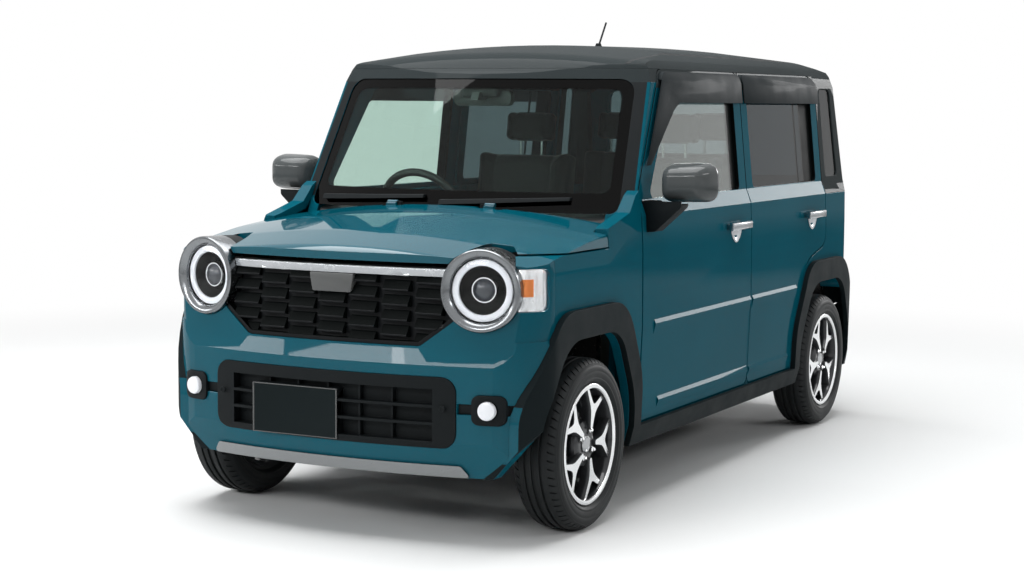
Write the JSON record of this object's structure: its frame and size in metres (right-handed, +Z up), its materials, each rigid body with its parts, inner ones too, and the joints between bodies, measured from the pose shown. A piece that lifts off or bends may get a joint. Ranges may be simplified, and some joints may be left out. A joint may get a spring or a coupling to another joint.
{
  "type": "kei car",
  "caption": "Short, tall kei-class hatchback with side-hinged doors, front bonnet, top-hinged tailgate, round headlamps, dark arch cladding and steerable alloy wheels.",
  "frame": {"origin": "middle of the bounding box, on the ground under the tyres", "axes": "+X towards the left side of the car, +Y towards its rear, +Z up"},
  "size_m": [1.8622, 3.3949, 1.7613],
  "materials": {
    "paint": "metallic gloss",
    "roof_paint": "metallic gloss",
    "black_plastic": "matt grained",
    "silver_plastic": "satin",
    "lamp_bezel": "bright",
    "clear_glass": "clear",
    "green_glass": "tinted",
    "dark_glass": "dark tinted",
    "red_lens": "gloss",
    "dark_trim": "matt",
    "seat_cloth": "woven",
    "engine_metal": "cast",
    "underbody": "satin",
    "steel": "dull",
    "tyre": "matt",
    "alloy": "machined"
  },
  "bodies": {
    "body": {"floor_pan": "underbody", "body_sides": "paint", "roof_panel": "roof_paint", "front_wings": "paint", "front_bumper": "paint", "cowl": "black_plastic", "grilles": "black_plastic", "skid_strip": "silver_plastic", "front_lamps": "lamp_bezel", "front_lamp_lenses": "clear_glass", "fixed_glass": "green_glass", "side_cladding": "black_plastic", "rear_bumper": "black_plastic", "tail_lamps": "red_lens", "dashboard": "dark_trim", "seats": "seat_cloth", "interior_mirror": "dark_trim", "aerial": "black_plastic", "engine": "engine_metal", "front_subframe": "underbody", "rear_axle": "underbody", "fuel_tank": "black_plastic", "exhaust": "steel"},
    "bonnet": {"bonnet": "paint"},
    "front_left_door": {"front_door_left": "paint", "front_glass_left": "green_glass", "front_trim_left": "roof_paint"},
    "rear_left_door": {"rear_door_left": "paint", "rear_glass_left": "dark_glass", "rear_trim_left": "roof_paint"},
    "front_right_door": {"front_door_right": "paint", "front_glass_right": "green_glass", "front_trim_right": "roof_paint"},
    "rear_right_door": {"rear_door_right": "paint", "rear_glass_right": "dark_glass", "rear_trim_right": "roof_paint"},
    "tailgate": {"tailgate": "paint", "tailgate_glass": "dark_glass"},
    "left_knuckle": {"knuckle_left": "underbody"},
    "right_knuckle": {"knuckle_right": "underbody"},
    "steering": {"steering_wheel": "dark_trim"},
    "front_left_wheel": {"tyre_front_left": "tyre", "wheel_front_left": "alloy"},
    "front_right_wheel": {"tyre_front_right": "tyre", "wheel_front_right": "alloy"},
    "rear_left_wheel": {"tyre_rear_left": "tyre", "wheel_rear_left": "alloy"},
    "rear_right_wheel": {"tyre_rear_right": "tyre", "wheel_rear_right": "alloy"}
  },
  "joints": [
    {"name": "front_left_door_hinge", "type": "hinge", "parent": "body", "child": "front_left_door", "pos_m": [0.714, -0.7455, 0.75], "axis": [0, 0, -1], "range_deg": [0, 65]},
    {"name": "rear_left_door_hinge", "type": "hinge", "parent": "body", "child": "rear_left_door", "pos_m": [0.714, 0.3465, 0.75], "axis": [0, 0, -1], "range_deg": [0, 65]},
    {"name": "front_right_door_hinge", "type": "hinge", "parent": "body", "child": "front_right_door", "pos_m": [-0.714, -0.7455, 0.75], "axis": [0, 0, 1], "range_deg": [0, 65]},
    {"name": "rear_right_door_hinge", "type": "hinge", "parent": "body", "child": "rear_right_door", "pos_m": [-0.714, 0.3465, 0.75], "axis": [0, 0, 1], "range_deg": [0, 65]},
    {"name": "bonnet_hinge", "type": "hinge", "parent": "body", "child": "bonnet", "pos_m": [0, -0.9315, 1.06], "axis": [-1, 0, 0], "range_deg": [0, 55]},
    {"name": "tailgate_hinge", "type": "hinge", "parent": "body", "child": "tailgate", "pos_m": [0, 1.5015, 1.613], "axis": [1, 0, 0], "range_deg": [0, 80]},
    {"name": "left_steer", "type": "hinge", "parent": "body", "child": "left_knuckle", "pos_m": [0.6, -1.1825, 0.2], "axis": [-0.1446, 0, 0.9895], "range_deg": [-35, 35]},
    {"name": "right_steer", "type": "hinge", "parent": "body", "child": "right_knuckle", "pos_m": [-0.6, -1.1825, 0.2], "axis": [0.1446, 0, 0.9895], "range_deg": [-35, 35]},
    {"name": "steering_turn", "type": "hinge", "parent": "body", "child": "steering", "pos_m": [-0.33, -0.4855, 1], "axis": [0, 0.9063, 0.4226], "range_deg": [-525, 525]},
    {"name": "front_left_spin", "type": "hinge", "parent": "left_knuckle", "child": "front_left_wheel", "pos_m": [0.645, -1.1825, 0.2895], "axis": [1, 0, 0], "continuous": true},
    {"name": "front_right_spin", "type": "hinge", "parent": "right_knuckle", "child": "front_right_wheel", "pos_m": [-0.645, -1.1825, 0.2895], "axis": [1, 0, 0], "continuous": true},
    {"name": "rear_left_spin", "type": "hinge", "parent": "body", "child": "rear_left_wheel", "pos_m": [0.645, 1.2775, 0.2895], "axis": [1, 0, 0], "continuous": true},
    {"name": "rear_right_spin", "type": "hinge", "parent": "body", "child": "rear_right_wheel", "pos_m": [-0.645, 1.2775, 0.2895], "axis": [1, 0, 0], "continuous": true}
  ],
  "couplings": [
    {"joint": "right_steer", "follows": "left_steer", "ratio": 1},
    {"joint": "steering_turn", "follows": "left_steer", "ratio": 15}
  ]
}
